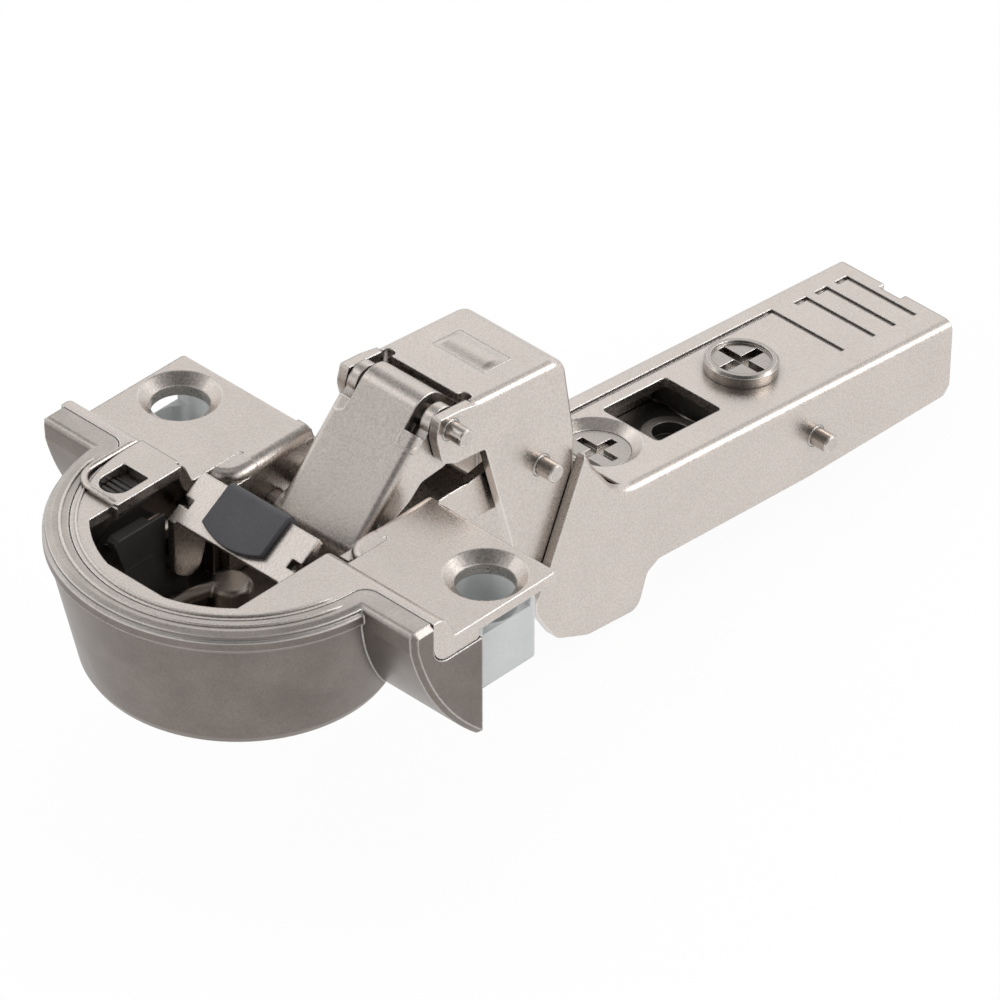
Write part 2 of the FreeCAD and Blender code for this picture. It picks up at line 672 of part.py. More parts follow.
# Closing spring: a leaf bent round the rear pin inside the knuckle, with its foot on the web
leaf = 0.7
leaf_r = 2.3
spring_stop_u = 27.9
spring = rod_y(rear_u, rear_h, leaf_r, -3.9, 3.9)
spring = spring.cut(rod_y(rear_u, rear_h, leaf_r - leaf, -5, 5))
spring = spring.cut(slab_y([
    (rear_u, rear_h), (rear_u + 5, rear_h + 5), (rear_u + 5, rear_h - 5), (rear_u, rear_h - 5),
], -5, 5))
spring = spring.fuse(slab_y([
    (rear_u, rear_h + leaf_r), (rear_u, rear_h + leaf_r - leaf), (rear_u + 0.5, rear_h + leaf_r - leaf),
    (spring_stop_u, rear_h + leaf_r + 1.6), (spring_stop_u, rear_h + leaf_r + 2.5),
], -3.9, 3.9))
closing_spring = save("closing_spring", in_arm_frame(spring))

# Arm
arm_in = knuckle_half + arm_side_gap
arm_half = arm_in + arm_sheet

# Side view of the arm: top, eared front, lug for the plate's pin, and the open back
def arm_view(tip_r):
    return [
        (arm_front_u, arm_top, 5.0), (32.2, -7.2, 3.0), (30.44, -4.2, tip_r), (26.15, -16.97, 2.0), (23.9, -22.0, 2.5),
        (27.9, -27.2, 3.0), (33.0, -28.9, 3.0), (40.9, -28.9, 1.6), (41.9, -24.7, 1.2), (43.6, -23.6, 1.2), (67.5, -23.14),
        (arm_back_u - 0.4, -21.67), (arm_back_u + 0.5, -20.56, 0.6), (arm_back_u, arm_top),
    ]


arm = slab_y(arm_view(0), -arm_half, arm_half)
arm_edges = []
for edge in arm.Edges:
    middle = edge.CenterOfMass
    long_top = abs(middle.z - arm_top) < 0.01 and edge.BoundBox.XLength > 20
    if abs(abs(middle.y) - arm_half) < 0.01 and long_top:
        arm_edges.append(edge)
arm = arm.makeFillet(arm_bend, arm_edges)
arm = arm.common(slab_y(arm_view(0.6), -arm_half - 1, arm_half + 1))
arm_inside = slab_y([
    (0, 20), (arm_front_u - 1.5, 20), (arm_front_u + 1.0, arm_top - arm_sheet, 2.0),
    (arm_back_u + 9, arm_top - arm_sheet), (arm_back_u + 9, -40), (0, -40),
], -arm_in, arm_in)
arm = arm.cut(arm_inside)
arm = arm.cut(slab_z([
    (window_u0, -window_half, 0.6), (window_u1, -window_half, 0.6), (window_u1, window_half, 0.6), (window_u0, window_half, 0.6),
], arm_top - 3, arm_top + 1))
arm = arm.cut(rod_z(side_u, 0, side_head_r + running_gap, arm_top - 3, arm_top + 1))
arm = arm.cut(cone_z(side_u, 0, side_head_r + running_gap, dish_r, arm_top - dish_depth, arm_top))
arm = arm.cut(rod_z(depth_u, 0, depth_shank_r + running_gap, arm_top - 3, arm_top + 1))
arm = arm.cut(rod_y(clip_u, clip_h, pin_r + seat_gap, -30, 30))
groove = 0.45
for u in (slot_last_u - 2 * slot_step, slot_last_u - slot_step, slot_last_u):
    arm = arm.cut(box(u - 0.3, u + 0.3, -4.9, 5.5, arm_top - groove, arm_top + 1))
    arm = arm.cut(box(u - 1.8, u + 0.3, 4.9, 5.5, arm_top - groove, arm_top + 1))
arm = arm.cut(box(arm_front_u - 2.5, cross_groove_u + 0.3, 5.6, 6.2, arm_top - groove, arm_top + 1))
arm = arm.cut(box(cross_groove_u - 0.3, cross_groove_u + 0.3, -4.7, 6.2, arm_top - groove, arm_top + 1))
arm = arm.cut(box(arm_back_u - 0.9, arm_back_u + 2, -1.6, 1.6, arm_top - 3, arm_top + 1))
arm = save("arm", in_arm_frame(arm))

arm_rear_pin = rod_y(clip_u, clip_h, pin_r, -arm_pin_half, arm_pin_half)
save("arm_rear_pin", in_arm_frame(arm_rear_pin))

# Adjusting block: between the tail plates in front, on the arm's walls behind
inside_tail = knuckle_half - knuckle_sheet - side_gap
block_roof = arm_top - arm_sheet - running_gap
adjuster = box(block_u0, tail_u + 2.0, -inside_tail, inside_tail, block_foot_h, block_foot_h + 2.4)
adjuster = adjuster.fuse(box(tail_pin_u - 0.5, tail_u + 2.0, -inside_tail, inside_tail, block_foot_h, block_roof))
adjuster = adjuster.fuse(box(tail_u + 1.9, block_neck_u, -arm_in + running_gap, arm_in - running_gap, block_foot_h, block_roof))
adjuster = adjuster.fuse(box(block_neck_u - 0.1, block_u1, -arm_in + running_gap, arm_in - running_gap, block_shelf_h, block_roof))
disc_u = tail_pin_u - 4.8
adjuster = adjuster.fuse(rod_z(disc_u, -0.6, 3.4, block_foot_h, block_foot_h + 3.1))
adjuster = adjuster.cut(rod_z(disc_u, -0.6, 2.2, block_foot_h + 1.6, 0))
cam_width = cam_r + cam_play
adjuster = adjuster.cut(slab_z([
    (depth_u - cam_width, -1.0), (depth_u + cam_width, -1.0), (depth_u + cam_width, cam_offset + cam_r + 0.3),
    (depth_u - cam_width, cam_offset + cam_r + 0.3),
], -40, 0))
adjuster = adjuster.cut(rod_y(tail_pin_u, tail_pin_h, tail_pin_r + seat_gap, -30, 30))
adjusting_block = save("adjusting_block", in_arm_frame(adjuster))

tail_pin = rod_y(tail_pin_u, tail_pin_h, tail_pin_r, -knuckle_half, knuckle_half)
save("tail_pin", in_arm_frame(tail_pin))


# Cross recess of a screw head
def cross(u, half, wide, h0, h1):
    bar = box(u - half, u + half, -wide / 2, wide / 2, h0, h1)
    return bar.fuse(box(u - wide / 2, u + wide / 2, -half, half, h0, h1))


# Screws
head_foot = arm_top + seat_gap
depth = rod_z(depth_u, 0, depth_head_r, head_foot, head_foot + depth_head)
depth = depth.makeChamfer(0.3, [e for e in depth.Edges if e.CenterOfMass.z > head_foot + depth_head - 0.01])
depth = depth.cut(rod_z(depth_u, 0, depth_head_r - 0.75, head_foot + depth_head - 0.35, 0))
shank_foot = arm_top - arm_sheet - seat_gap
depth = depth.fuse(rod_z(depth_u, 0, depth_shank_r, shank_foot, head_foot + 0.1))
depth = depth.fuse(rod_z(depth_u, cam_offset, cam_r, block_shelf_h + 0.2, shank_foot))
depth = depth.cut(cross(depth_u, 3.1, 1.1, head_foot + 0.2, 0))
save("depth_screw", in_arm_frame(depth))

screw = rod_z(side_u, 0, side_head_r, side_head_top - side_head, side_head_top)
screw = screw.fuse(rod_z(side_u, 0, side_shank_r, side_shank_foot, side_head_top - 0.2))
screw = screw.cut(cross(side_u, 2.7, 1.0, side_head_top - 0.6, 0))
save("side_screw", in_arm_frame(screw))

# Clip hook: two cheeks on the arm's pin, joined by a finger plate behind
hook_in = hook_half - hook_sheet
finger_u = clip_u + 18.0
cheek = rod_y(clip_u, clip_h, hook_eye_r, hook_in, hook_half)
cheek = cheek.fuse(slab_y([
    (clip_u, clip_h + hook_eye_r - 0.3), (clip_u + 9.8, -18.9), (finger_u, -19.6), (finger_u, -20.7), (clip_u + 5.8, -21.3),
    (clip_u, clip_h - hook_eye_r - 1.6, 2.0), (clip_u - 7.0, -22.4), (clip_u - 7.4, -20.6), (clip_u - 4.6, -20.4),
    (clip_u - 1.6, clip_h),
], hook_in, hook_half))
finger = slab_y([
    (clip_u + 7.8, -19.0), (finger_u, -19.6), (finger_u, -20.7), (clip_u + 7.8, -20.1),
], -hook_half, hook_half)
hook = both_sides(cheek).fuse(finger)
hook = hook.cut(rod_y(clip_u, clip_h, pin_r + running_gap, -30, 30))
save("clip_hook", in_arm_frame(hook))

# Clip spring: a coil on the same pin with two short legs
coil = rod_y(clip_u, clip_h, coil_r, -3.5, 3.5)
coil = coil.fuse(rod_y(clip_u, clip_h, coil_r, 2.0, 3.5))
leg = slab_y([
    (clip_u, clip_h + coil_r), (clip_u, clip_h + coil_r - coil_wall), (clip_u + 5.6, -18.4),
    (clip_u + 5.8, -17.8),
], -3.5, -2.9)
low_leg = slab_y([
    (clip_u, clip_h - coil_r), (clip_u + 9.2, -20.3), (clip_u + 9.2, -20.85), (clip_u, clip_h - coil_r + coil_wall),
], 2.9, 3.5)
coil = coil.fuse(leg).fuse(low_leg)
coil = coil.cut(rod_y(clip_u, clip_h, pin_r + 0.1, -30, 30))
save("clip_spring", in_arm_frame(coil))


# Soft-close lever: a sloping plate with two flanges down to its pivot
def lever_point(along, up):
    c = math.cos(math.radians(lever_slope))
    s = math.sin(math.radians(lever_slope))
    return (-15.47 + along * c - up * s, -0.38 + along * s + up * c)


lever_length = 6.05
top_plate = slab_y([
    lever_point(0, 0), lever_point(lever_length, 0), lever_point(lever_length, -lever_sheet), lever_point(0, -lever_sheet),
], -lever_near, lever_far)
flange_view = [
    (-17.2, 0.3, 0.5), (-15.6, -7.4, 1.7), (-12.4, -9.3, 1.6), (-11.4, -6.0, 2.0), lever_point(lever_length, -0.2),
    lever_point(lever_length, 0), lever_point(0, 0),
]
notch_view = [lever_point(1.5, 0.5), lever_point(3.1, 0.5), lever_point(2.3, -1.5)]
lever = top_plate.fuse(slab_y(flange_view, -lever_near, -lever_near + lever_sheet))
lever = lever.fuse(slab_y(flange_view, lever_far - lever_sheet, lever_far))
lever = lever.cut(slab_y(notch_view, -lever_near - 1, -lever_near + 1.3))
lever = lever.cut(slab_y(notch_view, lever_far - 1.3, lever_far + 1))
lever = lever.fuse(rod_y(lever_x, lever_z, stub_r, -stub_half, -lever_near + 0.5))
lever = lever.fuse(rod_y(lever_x, lever_z, stub_r, lever_far - 0.5, stub_half))
crank_x = lever_x + crank_r * math.cos(math.radians(crank_angle))
crank_z = lever_z + crank_r * math.sin(math.radians(crank_angle))
lever = lever.fuse(rod_y(crank_x, crank_z, crank_pin_r, lever_far - 0.5, slider_y0 + slider_sheet))
soft_close_lever = save("soft_close_lever", lever)

# Pad on the lever, rolled over its rear edge
pad_end = lever_length + 0.6
pad = slab_y([
    lever_point(0.15, seat_gap), lever_point(0.15, pad_sheet), lever_point(pad_end, pad_sheet) + (0.9,),
    lever_point(pad_end, -lever_sheet - 0.2) + (0.3,), lever_point(lever_length + seat_gap, -lever_sheet - 0.2),
    lever_point(lever_length + seat_gap, seat_gap),
], -pad_half, pad_half)
front_x, front_z = lever_point(0.15, 0)
bow_r = (pad_half ** 2 + 1.1 ** 2) / 2.2
slope_dir = V(math.cos(math.radians(lever_slope)), 0, math.sin(math.radians(lever_slope)))
up_dir = V(-slope_dir.z, 0, slope_dir.x)
bow_foot = V(front_x, 0, front_z) + slope_dir * bow_r - up_dir * 4
bow = Part.makeCylinder(bow_r, 8, bow_foot, up_dir)
pad_rear = slab_y([
    lever_point(2.0, -5), lever_point(2.0, 5), lever_point(12, 5), lever_point(12, -5),
], -pad_half, pad_half)
pad = pad.common(bow.fuse(pad_rear))
save("lever_pad", pad)

# Damper slider: an upright plate with a fork for the crank pin and a tab that pushes the rod
slider_end_x = -8.5
fork = crank_pin_r + 0.1
slider = box(crank_x - 2.0, slider_end_x, slider_y0, slider_y0 + slider_sheet, slider_foot, slider_top)
slider = slider.fuse(box(slider_end_x - 0.8, slider_end_x, slider_y0, cylinder_y + 1.6, slider_foot, slider_top))
slider = slider.cut(box(crank_x - fork, crank_x + fork, 0, slider_y0 + slider_sheet + 0.1, crank_z - crank_pin_r - 0.1, 0))
save("damper_slider", slider)

# Damper: cylinder lying along X, with a rod and its piston
cylinder = rod_x(cylinder_y, cylinder_z, cylinder_r, cylinder_x0, cylinder_x1)
cylinder = cylinder.cut(rod_x(cylinder_y, cylinder_z, cylinder_bore_r, cylinder_x0 + 0.8, cylinder_x1 - 0.6))
cylinder = cylinder.cut(rod_x(cylinder_y, cylinder_z, rod_r + running_gap, cylinder_x1 - 1, cylinder_x1 + 1))
save("damper_cylinder", cylinder)
rod = rod_x(cylinder_y, cylinder_z, rod_r, cylinder_x1 - 2.2, slider_end_x - 0.8)
rod = rod.fuse(rod_x(cylinder_y, cylinder_z, cylinder_bore_r - running_gap, cylinder_x1 - 2.2, cylinder_x1 - 0.9))
save("damper_rod", rod)

# Damper housing: a crescent against the wall of the cup, with a cradle for the cylinder
fill = turned([
    (0, cup_floor + seat_gap), (cavity_foot_r - running_gap - floor_edge, cup_floor + seat_gap),
    (cavity_foot_r - running_gap, cup_floor + seat_gap + floor_edge), (cavity_top_r - running_gap, sheet_under),
    (0, sheet_under),
])
base_top = sheet_under + plateau_rise - seat_gap
base_foot = base_top - 0.9
damper_roof = base_foot - running_gap
crescent = box(-27, cylinder_x1, damper_face_y, 20, cup_floor, damper_top)
crescent = fill.common(crescent.fuse(box(-25, cylinder_x1, damper_upper_y, 20, damper_top - 1, damper_roof)))
crescent = crescent.cut(box(-17.6, 0, 0, slider_y0 + slider_sheet + running_gap, slider_foot - running_gap, 0))
crescent = crescent.cut(rod_x(cylinder_y, cylinder_z, cylinder_r + seat_gap, cylinder_x0 - seat_gap, 0))
crescent = crescent.cut(rod_y(lever_x, lever_z, stub_r + running_gap, 0, stub_half + 0.1))
save("damper_housing", crescent)

# Switch: ribbed slide in its slot, held by a base under the sheet
switch = slab_z([
    (switch_x0, switch_y - switch_half, 1.7), (switch_x1, switch_y - switch_half, 0.2),
    (switch_x1, switch_y + switch_half, 0.2), (switch_x0, switch_y + switch_half, 1.7),
], base_top - 0.2, switch_top)
for i in range(4):
    x = switch_x0 + 0.75 + i * 0.75
    switch = switch.cut(box(x, x + 0.3, 0, 20, switch_top - 0.3, 5))
switch = switch.fuse(slab_z([
    (-20.6, 10.6, 0.5), (-15.9, 10.6, 0.3), (-15.9, 14.6, 0.3), (-19.6, 14.6, 1.5),
], base_foot, base_top))
save("switch_slider", switch)
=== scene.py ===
import bmesh
import bpy
import math
from mathutils import Matrix, Vector


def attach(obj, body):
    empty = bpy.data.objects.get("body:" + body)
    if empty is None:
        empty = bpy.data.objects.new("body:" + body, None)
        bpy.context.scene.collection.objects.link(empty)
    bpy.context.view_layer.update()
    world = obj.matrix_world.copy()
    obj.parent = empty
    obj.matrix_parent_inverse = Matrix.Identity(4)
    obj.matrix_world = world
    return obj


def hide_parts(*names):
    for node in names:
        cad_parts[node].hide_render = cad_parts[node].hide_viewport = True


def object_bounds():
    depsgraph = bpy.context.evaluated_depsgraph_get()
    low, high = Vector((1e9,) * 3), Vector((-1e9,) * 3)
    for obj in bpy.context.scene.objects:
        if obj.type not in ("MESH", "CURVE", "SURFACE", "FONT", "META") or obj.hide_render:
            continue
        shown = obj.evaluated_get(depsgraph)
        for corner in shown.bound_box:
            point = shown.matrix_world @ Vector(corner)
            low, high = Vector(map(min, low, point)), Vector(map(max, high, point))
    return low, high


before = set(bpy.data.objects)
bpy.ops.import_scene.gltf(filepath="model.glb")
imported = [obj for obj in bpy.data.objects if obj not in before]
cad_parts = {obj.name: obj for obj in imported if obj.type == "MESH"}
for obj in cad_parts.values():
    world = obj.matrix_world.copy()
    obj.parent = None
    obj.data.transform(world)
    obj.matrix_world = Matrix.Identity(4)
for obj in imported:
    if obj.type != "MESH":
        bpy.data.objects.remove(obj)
cad_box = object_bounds()

# Camera: a long lens in front of the cup and above it, as the hinge lies in the picture.
# It looks at the middle of the picture, given in the hinge's own frame.
AZIMUTH = math.radians(-46.0)
ELEVATION = math.radians(36.9)
LOOK_AT = Vector((0.02546, 0.0, -0.01454))
FIELD_WIDTH = 0.1069
SENSOR_MM = 36.0
LENS_MM = 400.0
NEAR_LIMIT, FAR_LIMIT = 0.05, 20.0
to_camera = Vector((
    math.sin(AZIMUTH) * math.cos(ELEVATION),
    -math.cos(AZIMUTH) * math.cos(ELEVATION),
    math.sin(ELEVATION)))
camera_data = bpy.data.cameras.new("camera")
camera_data.sensor_width = SENSOR_MM
camera_data.lens = LENS_MM
camera_data.clip_start = NEAR_LIMIT
camera_data.clip_end = FAR_LIMIT
camera = bpy.data.objects.new("camera", camera_data)
bpy.context.scene.collection.objects.link(camera)
camera.location = LOOK_AT + to_camera * (FIELD_WIDTH * LENS_MM / SENSOR_MM)
camera.rotation_euler = (-to_camera).to_track_quat("-Z", "Y").to_euler()
bpy.context.scene.camera = camera
bpy.context.scene.view_settings.view_transform = "Standard"


# Floor: pale seamless paper under the hinge. The lens and the metal see it nearly white; the
# rest of it takes real light, so that it keeps the hinge's shadow.
def linear(text):
    parts = [int(text[i:i + 2], 16) / 255 for i in (0, 2, 4)]
    return [p / 12.92 if p <= 0.04045 else ((p + 0.055) / 1.055) ** 2.4 for p in parts] + [1.0]


def add(tree, kind, inputs=None, span=(), stops=(), **settings):
    # A span holds the limits that are read and given; stops hold a ramp's places and greys
    node = tree.nodes.new(kind)
    for key, value in settings.items():
        setattr(node, key, value)
    limits = dict(zip(("From Min", "From Max", "To Min", "To Max"), span))
    for key, value in {**(inputs or {}), **limits}.items():
        socket = node.inputs[key]
        if isinstance(value, bpy.types.NodeSocket):
            tree.links.new(value, socket)
        else:
            socket.default_value = value
    for number, (place, shade) in enumerate(stops):
        if number > 1:
            node.color_ramp.elements.new(place)
        stop = node.color_ramp.elements[number]
        stop.position = place
        stop.color = (shade, shade, shade, 1.0)
    return node


FLOOR_SIZE = 8.0
FLOOR_X = 0.02
FLOOR_DROP = 0.0006
WHITE_SHARE = 0.95
bpy.ops.mesh.primitive_plane_add(size=FLOOR_SIZE, location=(FLOOR_X, 0.0, cad_box[0][2] - FLOOR_DROP))
floor = bpy.context.object
floor.name = "floor"
paper = bpy.data.materials.new("seamless_paper")
paper.use_nodes = True
tree = paper.node_tree
tree.nodes.clear()
path = add(tree, "ShaderNodeLightPath")
seen = path.outputs["Is Camera Ray"]
for ray in ("Is Glossy Ray", "Is Transmission Ray"):
    seen = add(tree, "ShaderNodeMath", {0: seen, 1: path.outputs[ray]}, operation="MAXIMUM").outputs[0]
share = add(tree, "ShaderNodeMath", {0: seen, 1: WHITE_SHARE}, operation="MULTIPLY")
paint = add(tree, "ShaderNodeBsdfDiffuse", {"Color": linear("F4F4F3")})
glow = add(tree, "ShaderNodeEmission", {"Color": linear("FFFFFF"), "Strength": 1.0})
blend = add(tree, "ShaderNodeMixShader", {0: share.outputs[0], 1: paint.outputs[0], 2: glow.outputs[0]})
add(tree, "ShaderNodeOutputMaterial", {"Surface": blend.outputs[0]})
floor.data.materials.append(paper)

# Studio: a pale room with a darker band high up, which draws the dark lines beside bright bends.
# Each zone is a direction, its inner and outer half angle and the share of light that it keeps:
# the dark room behind the lens, a dimmer patch on the left, and a bright one above that.
ROOM_STRENGTH = 1.3
ROOM_BANDS = (
    (0.0, 0.40), (0.10, 0.76), (0.45, 0.80), (0.60, 0.96),
    (0.67, 0.80), (0.77, 0.16), (0.90, 0.22), (1.0, 0.4))
ZONES = (
    (to_camera, 12.0, 44.0, 0.20),
    (Vector((-0.62, 0.556, 0.55)), 8.0, 24.0, 0.55),
    (Vector((-0.30, 0.556, 0.776)), 5.0, 18.0, 3.5),
)
world = bpy.data.worlds.new("studio")
bpy.context.scene.world = world
world.use_nodes = True
tree = world.node_tree
tree.nodes.clear()
place = add(tree, "ShaderNodeTexCoord")
height = add(tree, "ShaderNodeSeparateXYZ", {"Vector": place.outputs["Generated"]})
room = add(tree, "ShaderNodeValToRGB", {"Fac": height.outputs["Z"]}, stops=ROOM_BANDS)
light = room.outputs["Color"]
for direction, core, rim, kept in ZONES:
    near = add(tree, "ShaderNodeVectorMath", {
        0: place.outputs["Generated"], 1: direction.normalized()}, operation="DOT_PRODUCT")
    dim = add(tree, "ShaderNodeMapRange", {"Value": near.outputs["Value"]}, (
        math.cos(math.radians(rim)), math.cos(math.radians(core)), 1.0, kept),
        interpolation_type="SMOOTHSTEP")
    light = add(tree, "ShaderNodeMix", {"Factor": 1.0, "A": light, "B": dim.outputs[0]},
                data_type="RGBA", blend_type="MULTIPLY").outputs["Result"]
room_light = add(tree, "ShaderNodeBackground", {"Color": light, "Strength": ROOM_STRENGTH})
add(tree, "ShaderNodeOutputWorld", {"Surface": room_light.outputs[0]})

# Softboxes: three plain area lamps that look at the hinge. Each has a name, a place, a size and
# a power, and only the right one is mirrored by the metal.
SOFTBOXES = (
    ("softbox_top", (0.05, 0.10, 0.60), (0.7, 0.7), 1.6, False),
    ("softbox_right", (0.40, -0.48, 0.26), (0.50, 0.22), 1.1, True),
    ("softbox_left", (-0.50, 0.10, 0.35), (0.4, 0.3), 0.7, False),
)
for name, spot, size, power, mirrored in SOFTBOXES:
    data = bpy.data.lights.new(name, "AREA")
    data.shape = "RECTANGLE"
    data.size, data.size_y = size
    data.energy = power
    lamp = bpy.data.objects.new(name, data)
    bpy.context.scene.collection.objects.link(lamp)
    lamp.location = spot
    lamp.rotation_euler = (Vector(spot) - LOOK_AT).to_track_quat("Z", "Y").to_euler()
    lamp.visible_glossy = mirrored

# Cup housing: one zinc die casting, nickel plated. Its outside is tumbled, a little greyer and
# more mottled than the pressed pieces; its upright wall is painted greyer still, as painted shade,
# and its bowl is painted a darker tone, as painted shade of the recess.
# Where the bowl's painted shade lies: the ring's centre on x, the radius of the bowl's wall and the height
# of its mouth
RING_X = -0.0137
BOWL_WALL = (0.0164, 0.0168)
BOWL_MOUTH = (0.0030, -0.0010)
SPECK_MM = 0.28
CLOUD_MM = 6.0
GRAIN_DEPTH_MM = 0.03
# Reach of the occlusion that paints shade into corners and recesses
SHADE_REACH_MM = 1.4
# Colour of the painted shade on edges at the far side
FAR_EDGE_SHADE = "5A544F"


def nickel(name, colour, roughness, edge_highlight_colour="FBF7F3", wall=None, bowl=None,
           mottle=0.06, grain=0.5, edge_mm=0.16):
    look = bpy.data.materials.new(name)
    look.use_nodes = True
    tree = look.node_tree
    shader = tree.nodes["Principled BSDF"]
    where = add(tree, "ShaderNodeTexCoord")
    # Tumbling marks, drawn at 0.14 mm, coarser than the real ones, so that they show
    speck = add(tree, "ShaderNodeTexNoise", {
        "Vector": where.outputs["Object"], "Scale": 1000 / SPECK_MM, "Detail": 3.0, "Roughness": 0.7})
    cloud = add(tree, "ShaderNodeTexNoise", {
        "Vector": where.outputs["Object"], "Scale": 1000 / CLOUD_MM, "Detail": 5.0, "Roughness": 0.62})
    tone = add(tree, "ShaderNodeRGB").outputs[0]
    tone.default_value = linear(colour)
    # The upright wall of the cup is painted greyer than the faces that look up: painted shade, set by the
    # slope of the face
    if wall:
        facing = add(tree, "ShaderNodeSeparateXYZ", {"Vector": where.outputs["Normal"]})
        upright_shade_mask = add(tree, "ShaderNodeMapRange", {"Value": facing.outputs["Z"]}, (0.25, 0.7, 1.0, 0.0))
        tone = add(tree, "ShaderNodeMix", {"Factor": upright_shade_mask.outputs[0], "A": tone, "B": linear(wall)},
                   data_type="RGBA").outputs["Result"]
    # Within its wall and below its mouth the bowl is painted a tone of its own, darker than the faces
    # outside that look up: painted shade of the recess
    if bowl:
        spot = add(tree, "ShaderNodeSeparateXYZ", {"Vector": where.outputs["Object"]})
        flat = add(tree, "ShaderNodeVectorMath", {
            0: where.outputs["Object"], 1: (1.0, 1.0, 0.0)}, operation="MULTIPLY")
        reach = add(tree, "ShaderNodeVectorMath", {
            0: flat.outputs[0], 1: (RING_X, 0.0, 0.0)}, operation="DISTANCE")
        inside = add(tree, "ShaderNodeMapRange", {"Value": reach.outputs["Value"]}, (*BOWL_WALL, 1.0, 0.0))
        below = add(tree, "ShaderNodeMapRange", {"Value": spot.outputs["Z"]}, (*BOWL_MOUTH, 0.0, 1.0))
        bowl_shade_mask = add(tree, "ShaderNodeMath", {
            0: inside.outputs[0], 1: below.outputs[0]}, operation="MULTIPLY")
        tone = add(tree, "ShaderNodeMix", {"Factor": bowl_shade_mask.outputs[0], "A": tone, "B": linear(bowl)},
                   data_type="RGBA").outputs["Result"]
    clouded = add(tree, "ShaderNodeMapRange", {"Value": cloud.outputs["Fac"]}, (
        0.32, 0.68, 1.0 - mottle, 1.0))
    specked = add(tree, "ShaderNodeMapRange", {"Value": speck.outputs["Fac"]}, (0.35, 0.65, 0.80, 1.0))
    both = add(tree, "ShaderNodeMath", {0: clouded.outputs[0], 1: specked.outputs[0]}, operation="MULTIPLY")
    tone = add(tree, "ShaderNodeMix", {"Factor": 1.0, "A": tone, "B": both.outputs[0]},
               data_type="RGBA", blend_type="MULTIPLY").outputs["Result"]
    # Edges are softly rounded by the tumbling, in the shading, and painted brighter where they stand out: a
    # painted highlight
    rounded = add(tree, "ShaderNodeBevel", {"Radius": edge_mm / 1000}, samples=4)
    true_face = add(tree, "ShaderNodeNewGeometry")
    turn = add(tree, "ShaderNodeVectorMath", {
        0: rounded.outputs[0], 1: true_face.outputs["Normal"]}, operation="DOT_PRODUCT")
    edge = add(tree, "ShaderNodeMapRange", {"Value": turn.outputs["Value"]}, (0.985, 0.88, 0.0, 0.9))
    # Edges whose rounding turns to the far side, towards +x and +y, are painted dark: painted shade that
    # draws them as dark lines
    far_facing = add(tree, "ShaderNodeVectorMath", {
        0: rounded.outputs[0], 1: (0.7, 0.7, 0.0)}, operation="DOT_PRODUCT")
    far_edge_shade = add(tree, "ShaderNodeMapRange", {"Value": far_facing.outputs["Value"]}, (0.08, 0.30, 0.0, 1.0))
    edge_highlight_and_shade = add(tree, "ShaderNodeMix", {
        "Factor": far_edge_shade.outputs[0], "A": linear(edge_highlight_colour), "B": linear(FAR_EDGE_SHADE)}, data_type="RGBA")
    tone = add(tree, "ShaderNodeMix", {"Factor": edge.outputs[0], "A": tone, "B": edge_highlight_and_shade.outputs["Result"]},
               data_type="RGBA").outputs["Result"]
    # Corners and recesses are painted darker from the occlusion: painted shade
    occlusion = add(tree, "ShaderNodeAmbientOcclusion", {"Distance": SHADE_REACH_MM / 1000}, samples=4)
    crevice_shade = add(tree, "ShaderNodeMapRange", {"Value": occlusion.outputs["AO"]}, (0.2, 0.8, 0.35, 1.0))
    tone = add(tree, "ShaderNodeMix", {"Factor": 1.0, "A": tone, "B": crevice_shade.outputs[0]},
               data_type="RGBA", blend_type="MULTIPLY").outputs["Result"]
    rough = add(tree, "ShaderNodeMapRange", {"Value": speck.outputs["Fac"]}, (
        0.3, 0.7, roughness - 0.05, roughness + 0.06))
    relief = add(tree, "ShaderNodeBump", {
        "Strength": grain, "Distance": GRAIN_DEPTH_MM / 1000, "Height": speck.outputs["Fac"],
        "Normal": rounded.outputs[0]})
    tree.links.new(tone, shader.inputs["Base Color"])
    shader.inputs["Metallic"].default_value = 1.0
    tree.links.new(rough.outputs[0], shader.inputs["Roughness"])
    tree.links.new(relief.outputs[0], shader.inputs["Normal"])
    return look


def dress(look, *names):
    for name in names:
        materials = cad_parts[name].data.materials
        materials.clear()
        materials.append(look)


# Its wall colour is painted shade on the upright faces, and its bowl colour painted shade in the bowl
cast_nickel = nickel(
    "tumbled_nickel_on_zinc_casting", "D3CBC4", 0.34,
    wall="8A817B", bowl="B3A9A1", mottle=0.22, edge_mm=0.30)
dress(cast_nickel, "cup_housing")

# Cup plate, inner link and clip hook: sheet steel, pressed, tumbled and nickel plated, like the
# knuckle, the lever, the outer link and the arm. The plating leaves a warm silver face with a
# fine sparkling grain and softly rounded edges, with a painted highlight along them.
pressed_nickel = nickel("tumbled_nickel_on_pressed_steel", "DCD3CC", 0.29, edge_mm=0.26)
dress(pressed_nickel, "cup_plate", "inner_link", "clip_hook")

# Knuckle: one cranked channel of the same sheet, with a soft low rib pressed up near its front.
# The rib is a smooth swell with rounded ends. From here on places are in millimetres, with heights
# from the flanges' top face, which lies a sheet's thickness above the frame's own zero.
SHEET = 1.3
ARM_COS, ARM_SIN = 0.9954, 0.0958
ARM_UP = Vector((ARM_SIN, 0.0, ARM_COS))
WELD, SLIVER = 0.002, 0.001
SAME_BEND = 0.85


def at(x, y, z):
    return Vector((x, y, z + SHEET)) / 1000


def on_arm(u, y, h):
    return at(ARM_COS * u + ARM_SIN * h, y, ARM_COS * h - ARM_SIN * u)


def copy_of(name):
    mesh = bmesh.new()
    mesh.from_mesh(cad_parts[name].data)
    mesh.transform(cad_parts[name].matrix_world)
    bmesh.ops.remove_doubles(mesh, verts=mesh.verts, dist=WELD / 1000)
    return mesh


